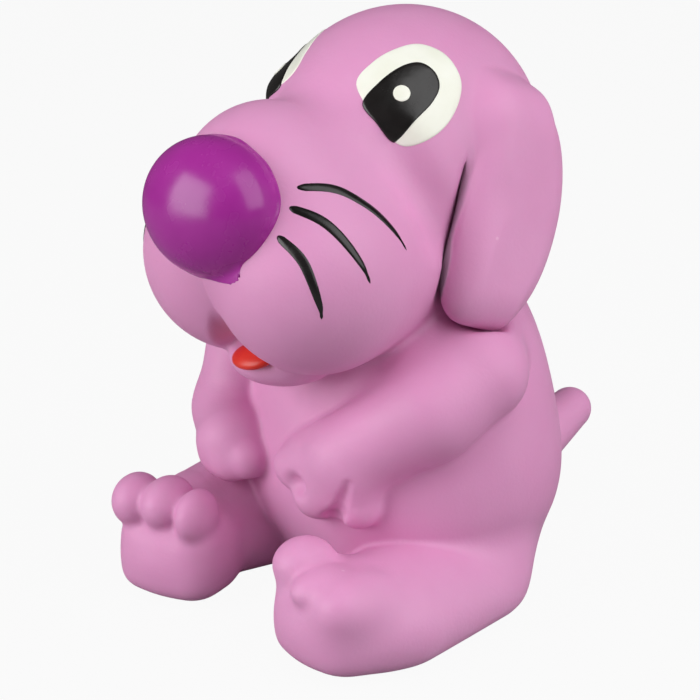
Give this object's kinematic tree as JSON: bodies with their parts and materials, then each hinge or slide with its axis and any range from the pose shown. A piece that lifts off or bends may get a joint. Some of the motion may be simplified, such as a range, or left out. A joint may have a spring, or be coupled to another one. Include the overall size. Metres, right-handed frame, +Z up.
{
  "type": "squeaky dog toy",
  "caption": "Hollow latex squeeze toy shaped as a sitting puppy with hanging ears, a painted face and a reed squeaker pressed into its flat base.",
  "frame": {"origin": "on the ground under the middle of the toy's box, from nose to tail and from side to side", "axes": "+Z up, the muzzle towards -Y, the puppy's own left side towards +X"},
  "size_m": [0.0741, 0.1134, 0.1114],
  "materials": {
    "latex": "satin",
    "painted_nose": "gloss",
    "painted_tongue": "gloss",
    "white_paint": "gloss",
    "black_paint": "gloss",
    "squeaker_plastic": "matte",
    "reed_film": "gloss"
  },
  "bodies": {
    "torso": {"torso_skin": "latex", "left_arm": "latex", "right_arm": "latex", "left_leg": "latex", "right_leg": "latex", "squeaker_housing": "squeaker_plastic", "reed_block": "squeaker_plastic", "reed_clamp": "squeaker_plastic"},
    "head": {"head_skin": "latex", "nose": "painted_nose", "tongue": "painted_tongue", "left_eye_white": "white_paint", "right_eye_white": "white_paint", "left_pupil": "black_paint", "right_pupil": "black_paint", "left_eye_highlight": "white_paint", "right_eye_highlight": "white_paint", "left_upper_whisker": "black_paint", "left_middle_whisker": "black_paint", "left_lower_whisker": "black_paint", "right_upper_whisker": "black_paint", "right_middle_whisker": "black_paint", "right_lower_whisker": "black_paint"},
    "left_ear": {"left_ear": "latex"},
    "right_ear": {"right_ear": "latex"},
    "tail": {"tail": "latex"},
    "reed": {"reed": "reed_film"}
  },
  "joints": [
    {"name": "head_press", "type": "slide", "parent": "torso", "child": "head", "axis": [0, 0, -1], "range_m": [0, 0.006], "stiffness_N_per_m": 2000, "springref_m": -0.0004, "deforming": ["torso_skin", "left_arm", "right_arm"]},
    {"name": "left_ear_flex", "type": "hinge", "parent": "head", "child": "left_ear", "pos_m": [0.0228, 0.0086, 0.0988], "axis": [0, -0.9397, 0.3419], "range_deg": [0, 18], "stiffness_Nm_per_rad": 0.05},
    {"name": "right_ear_flex", "type": "hinge", "parent": "head", "child": "right_ear", "pos_m": [-0.0228, 0.0086, 0.0988], "axis": [0, 0.9397, -0.3419], "range_deg": [0, 18], "stiffness_Nm_per_rad": 0.05},
    {"name": "tail_flex", "type": "hinge", "parent": "torso", "child": "tail", "pos_m": [0, 0.02835, 0.0113], "axis": [0, 0, 1], "range_deg": [-22, 22], "stiffness_Nm_per_rad": 0.04},
    {"name": "reed_flex", "type": "hinge", "parent": "torso", "child": "reed", "pos_m": [0, 0.00035, 0.0029], "axis": [-1, 0, 0], "range_deg": [-1.5, 5], "stiffness_Nm_per_rad": 0.0001}
  ]
}
